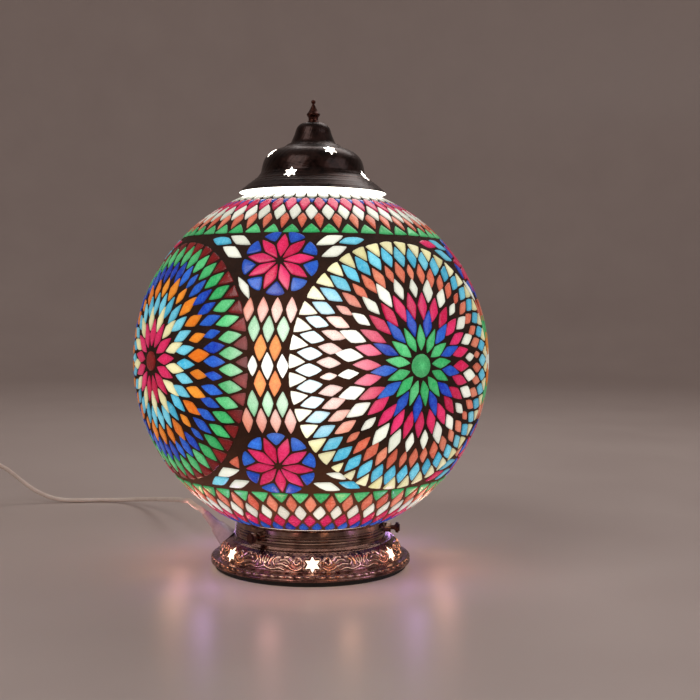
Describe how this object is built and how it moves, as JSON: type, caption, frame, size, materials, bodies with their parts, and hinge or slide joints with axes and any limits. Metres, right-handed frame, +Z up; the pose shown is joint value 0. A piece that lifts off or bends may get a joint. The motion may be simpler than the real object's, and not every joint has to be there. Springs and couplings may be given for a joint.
{
  "type": "mosaic glass table lamp",
  "caption": "Table lamp with a large glass-mosaic globe clamped by thumb screws in a pierced metal foot, under a pierced domed metal cap, with a cord, inline switch and plug.",
  "frame": {"origin": "on the table plane, on the lamp's vertical axis", "axes": "+Z up along the lamp's axis, front of the lamp towards -Y, cord leaving at the back left (-X, +Y)"},
  "size_m": [0.5218, 0.4411, 0.3958],
  "materials": {
    "antique_copper": "spun sheet metal, antiqued dark copper, polished high points",
    "dark_bronze": "spun sheet metal, nearly black bronze",
    "black_rubber": "matt",
    "plated_steel": "zinc plated",
    "holder_plastic": "black heat-proof moulding",
    "porcelain": "glazed",
    "contact_brass": "bright",
    "bulb_metal": "satin",
    "bulb_glass": "frosted, lit warm white",
    "gland_plastic": "grey-beige moulding",
    "cord_pvc": "off-white flexible cable",
    "wire_insulation": "soft insulation",
    "switch_plastic": "white moulding",
    "rocker_plastic": "white moulding",
    "plug_nickel": "nickel plated",
    "soft_tip": "soft vinyl",
    "screw_metal": "knurled, antiqued",
    "clear_glass": "clear blown glass",
    "dark_grout": "rough dark brown cement",
    "sealant": "clear sealant",
    "glass_pale_green": "textured stained glass",
    "glass_blue": "textured stained glass",
    "glass_crimson": "textured stained glass",
    "glass_white": "opal stained glass",
    "glass_salmon": "textured stained glass",
    "glass_turquoise": "textured stained glass",
    "glass_cream": "opal stained glass",
    "glass_dark_red": "textured stained glass",
    "glass_orange": "textured stained glass"
  },
  "bodies": {
    "base": {"base_mat": "black_rubber", "centre_contact": "contact_brass", "core_wires": "wire_insulation", "crossbar": "plated_steel", "foot_shell": "antique_copper", "gallery_ring": "antique_copper", "gland_body": "gland_plastic", "gland_nut": "gland_plastic", "lampholder_body": "holder_plastic", "lampholder_cap": "holder_plastic", "lampholder_core": "porcelain", "nipple_nuts": "plated_steel", "plug_body": "switch_plastic", "plug_pins": "plug_nickel", "rocker_pin": "plated_steel", "supply_cord": "cord_pvc", "switch_contacts": "contact_brass", "switch_lower_shell": "switch_plastic", "switch_screws": "plated_steel", "switch_upper_shell": "switch_plastic", "terminal_screws": "contact_brass", "thread_sleeve": "contact_brass", "threaded_nipple": "plated_steel"},
    "globe": {"tiles_a_blue": "glass_blue", "tiles_a_cream": "glass_cream", "tiles_a_crimson": "glass_crimson", "tiles_a_green": "glass_pale_green", "tiles_a_salmon": "glass_salmon", "tiles_a_turquoise": "glass_turquoise", "tiles_a_white": "glass_white", "tiles_b_blue": "glass_blue", "tiles_b_cream": "glass_cream", "tiles_b_dark_red": "glass_dark_red", "tiles_b_green": "glass_pale_green", "tiles_b_pink": "glass_crimson", "tiles_b_turquoise": "glass_turquoise", "tiles_blue": "glass_blue", "tiles_collar": "glass_white", "tiles_crimson": "glass_crimson", "tiles_green": "glass_pale_green", "tiles_orange": "glass_orange", "tiles_salmon": "glass_salmon", "tiles_turquoise": "glass_turquoise", "tiles_white": "glass_white", "glass_globe": "clear_glass", "grout_bed": "dark_grout", "cap_seal": "sealant", "cap_dome": "dark_bronze", "finial": "dark_bronze", "finial_nut": "plated_steel"},
    "bulb": {"bulb_cap": "bulb_metal", "bulb_contact": "bulb_metal", "bulb_glass": "bulb_glass"},
    "rocker": {"switch_rocker": "rocker_plastic"},
    "tip_1": {"screw_tip_1": "soft_tip"},
    "screw_1": {"thumb_screw_1": "screw_metal"},
    "tip_2": {"screw_tip_2": "soft_tip"},
    "screw_2": {"thumb_screw_2": "screw_metal"},
    "tip_3": {"screw_tip_3": "soft_tip"},
    "screw_3": {"thumb_screw_3": "screw_metal"}
  },
  "joints": [
    {"name": "globe_lift", "type": "slide", "parent": "base", "child": "globe", "axis": [0, 0, 1], "range_m": [0, 0.165]},
    {"name": "bulb_out", "type": "slide", "parent": "base", "child": "bulb", "axis": [0, 0, 1], "range_m": [0, 0.03]},
    {"name": "rocker_tilt", "type": "hinge", "parent": "base", "child": "rocker", "pos_m": [-0.358, 0.091, 0.014], "axis": [-1, 0, 0], "range_deg": [0, 16]},
    {"name": "tip_1_slide", "type": "slide", "parent": "base", "child": "tip_1", "axis": [-0.6428, -0.766, 0], "range_m": [0, 0.0026]},
    {"name": "screw_1_turn", "type": "hinge", "parent": "tip_1", "child": "screw_1", "pos_m": [-0.045, -0.05362, 0.0336], "axis": [-0.6428, -0.766, 0], "range_deg": [0, 1340]},
    {"name": "tip_2_slide", "type": "slide", "parent": "base", "child": "tip_2", "axis": [0.9848, -0.1736, 0], "range_m": [0, 0.0026]},
    {"name": "screw_2_turn", "type": "hinge", "parent": "tip_2", "child": "screw_2", "pos_m": [0.06894, -0.01215, 0.0336], "axis": [0.9848, -0.1736, 0], "range_deg": [0, 1340]},
    {"name": "tip_3_slide", "type": "slide", "parent": "base", "child": "tip_3", "axis": [-0.342, 0.9397, 0], "range_m": [0, 0.0026]},
    {"name": "screw_3_turn", "type": "hinge", "parent": "tip_3", "child": "screw_3", "pos_m": [-0.02394, 0.06578, 0.0336], "axis": [-0.342, 0.9397, 0], "range_deg": [0, 1340]}
  ],
  "couplings": [
    {"joint": "screw_1_turn", "follows": "tip_1_slide", "rad_per_m": 8976},
    {"joint": "screw_2_turn", "follows": "tip_2_slide", "rad_per_m": 8976},
    {"joint": "screw_3_turn", "follows": "tip_3_slide", "rad_per_m": 8976}
  ]
}
